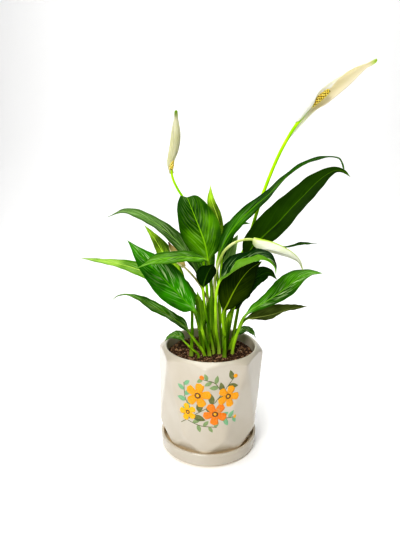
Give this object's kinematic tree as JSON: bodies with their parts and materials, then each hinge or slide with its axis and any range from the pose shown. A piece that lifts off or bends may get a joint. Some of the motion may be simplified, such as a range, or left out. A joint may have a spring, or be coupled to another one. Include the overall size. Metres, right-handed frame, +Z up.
{
  "type": "potted peace lily",
  "caption": "Peace lily with broad arching leaves and hooded white blooms, growing in a faceted cream ceramic pot on a round saucer.",
  "frame": {"origin": "centre of the saucer's flat underside, on the pot's axis", "axes": "+Z up along the pot's axis, -Y towards the side seen in the picture, +X to its right"},
  "size_m": [0.3127, 0.1527, 0.434],
  "materials": {
    "glaze": "smooth glossy cream glaze",
    "soil": "loose dark peat with bits of bark, dull",
    "leaf": "waxy green leaf, glossy above, duller below",
    "stalk": "smooth juicy lime green stem",
    "spathe": "soft matt cream white hood with fine veins",
    "spadix": "knobbly dull yellow flower spike",
    "wilted": "dry crumpled tan"
  },
  "bodies": {
    "root": {"saucer": "glaze", "pot": "glaze", "soil": "soil", "leaf_upper_left": "leaf", "leaf_centre_upright": "leaf", "leaf_left_glossy": "leaf", "leaf_left_crossing": "leaf", "leaf_far_left": "leaf", "leaf_left_young": "leaf", "leaf_lower_left": "leaf", "leaf_left_rim": "leaf", "leaf_right_rim": "leaf", "leaf_right_glossy": "leaf", "leaf_right_under": "leaf", "leaf_upper_right_broad": "leaf", "leaf_upper_right_narrow": "leaf", "leaf_new_rolled": "leaf", "leaf_back_right": "leaf", "leaf_back_small": "leaf", "leaf_back_right_thin": "leaf", "leaf_front_arching": "leaf", "leaf_centre_underside": "leaf", "leaf_right_behind": "leaf", "leaf_right_torn": "leaf", "leaf_front_round": "leaf", "leaf_olive_left": "leaf", "leaf_olive_right": "leaf", "leaf_back_upright": "leaf", "leaf_back_leaning": "leaf", "leaf_back_low": "leaf", "cut_stalk": "stalk", "bloom_right_stalk": "stalk", "bloom_right_spathe": "spathe", "bloom_right_spadix": "spadix", "bloom_left_stalk": "stalk", "bloom_left_spathe": "spathe", "bloom_left_spadix": "spadix", "bloom_drooping_stalk": "stalk", "bloom_drooping_spathe": "spathe", "bloom_drooping_spadix": "spadix", "bloom_wilted_stalk": "wilted", "bloom_wilted_spathe": "wilted"}
  },
  "joints": []
}
